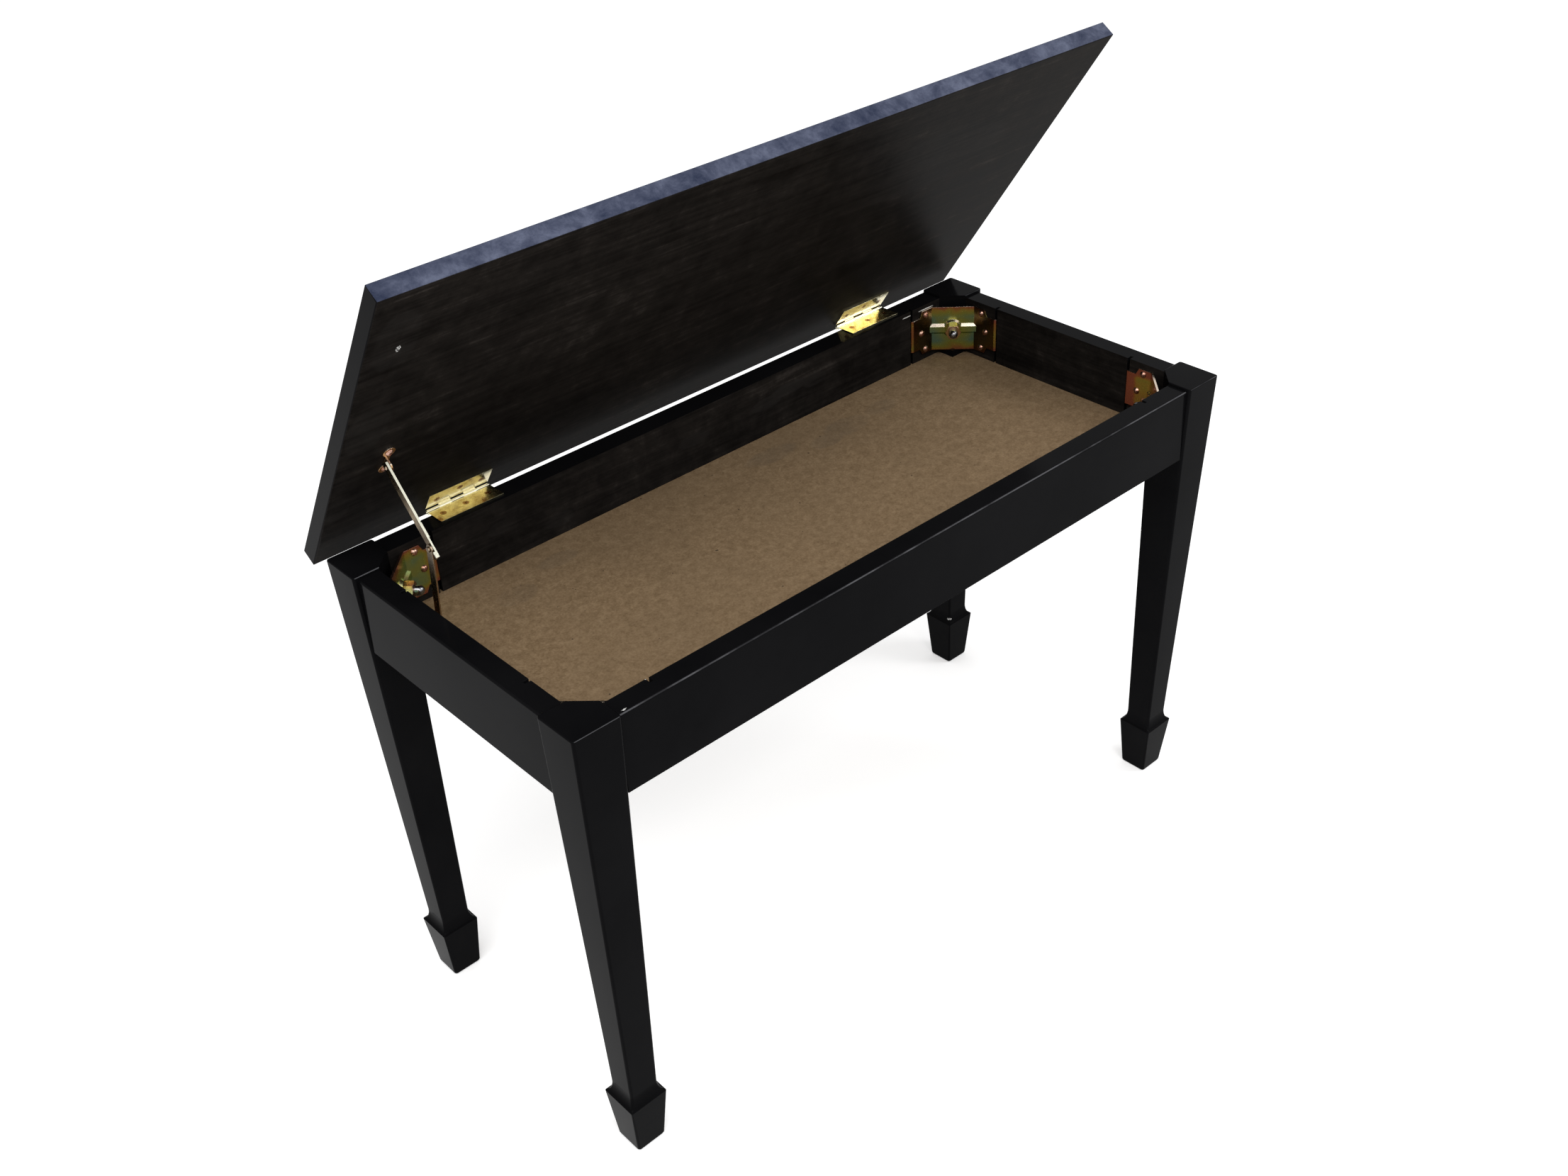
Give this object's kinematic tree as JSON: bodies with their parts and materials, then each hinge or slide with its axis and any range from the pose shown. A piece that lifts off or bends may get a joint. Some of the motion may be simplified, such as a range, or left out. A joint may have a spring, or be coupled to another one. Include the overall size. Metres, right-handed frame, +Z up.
{
  "type": "piano bench",
  "caption": "Black lacquered piano bench: tapered spade-foot legs, rails with corner brackets, and a hinged lid propped by a folding stay over a shallow music compartment.",
  "frame": {"origin": "floor, under the centre of the bench's box with the lid propped open", "axes": "+X along the bench to the right, +Y to the hinge side, +Z up"},
  "size_m": [0.76, 0.3652, 0.7607],
  "materials": {
    "black_lacquer": "gloss black lacquer over fine wood grain",
    "hardboard": "bare tan hardboard, matt",
    "yellow_zinc": "iridescent yellow zinc on pressed steel",
    "zinc_hardware": "yellow zinc on hexagon nuts",
    "bright_steel": "bright steel",
    "hinge_brass": "bright brass",
    "stay_brass": "pale brassed steel strip",
    "copper_zinc": "copper-pink zinc"
  },
  "bodies": {
    "frame": {"front_rail": "black_lacquer", "rear_rail": "black_lacquer", "left_rail": "black_lacquer", "right_rail": "black_lacquer", "leg_front_left": "black_lacquer", "leg_front_right": "black_lacquer", "leg_rear_left": "black_lacquer", "leg_rear_right": "black_lacquer", "bottom_panel": "hardboard", "corner_bracket_front_left": "yellow_zinc", "corner_bracket_front_right": "yellow_zinc", "corner_bracket_rear_left": "yellow_zinc", "corner_bracket_rear_right": "yellow_zinc", "hanger_bolts": "bright_steel", "hex_nuts": "zinc_hardware", "bracket_screws": "copper_zinc", "hinge_frame_leaf_left": "hinge_brass", "hinge_frame_leaf_right": "hinge_brass", "hinge_pin_left": "hinge_brass", "hinge_pin_right": "hinge_brass", "hinge_frame_screws": "hinge_brass", "stay_frame_bracket": "copper_zinc", "stay_frame_screws": "copper_zinc"},
    "lid": {"lid_panel": "black_lacquer", "hinge_lid_leaf_left": "hinge_brass", "hinge_lid_leaf_right": "hinge_brass", "hinge_lid_screws": "hinge_brass", "stay_lid_bracket": "copper_zinc", "stay_lid_screws": "copper_zinc", "stay_lid_rivet": "bright_steel"},
    "stay_upper": {"stay_upper_arm": "stay_brass", "stay_elbow_rivet": "bright_steel"},
    "stay_lower": {"stay_lower_arm": "stay_brass", "stay_foot_rivet": "bright_steel"}
  },
  "joints": [
    {"name": "lid_hinge", "type": "hinge", "parent": "frame", "child": "lid", "pos_m": [0, 0.16099, 0.4632], "axis": [1, 0, 0], "range_deg": [0, 55.5]},
    {"name": "stay_lid_pivot", "type": "hinge", "parent": "lid", "child": "stay_upper", "pos_m": [-0.33785, 0.08796, 0.56347], "axis": [1, 0, 0], "range_deg": [-88, 0]},
    {"name": "stay_elbow", "type": "hinge", "parent": "stay_upper", "child": "stay_lower", "pos_m": [-0.33785, 0.03993, 0.51056], "axis": [1, 0, 0], "range_deg": [0, 113.5]}
  ],
  "couplings": [
    {"joint": "stay_lid_pivot", "follows": "lid_hinge", "ratio": -1.573},
    {"joint": "stay_elbow", "follows": "lid_hinge", "ratio": 2.035}
  ]
}
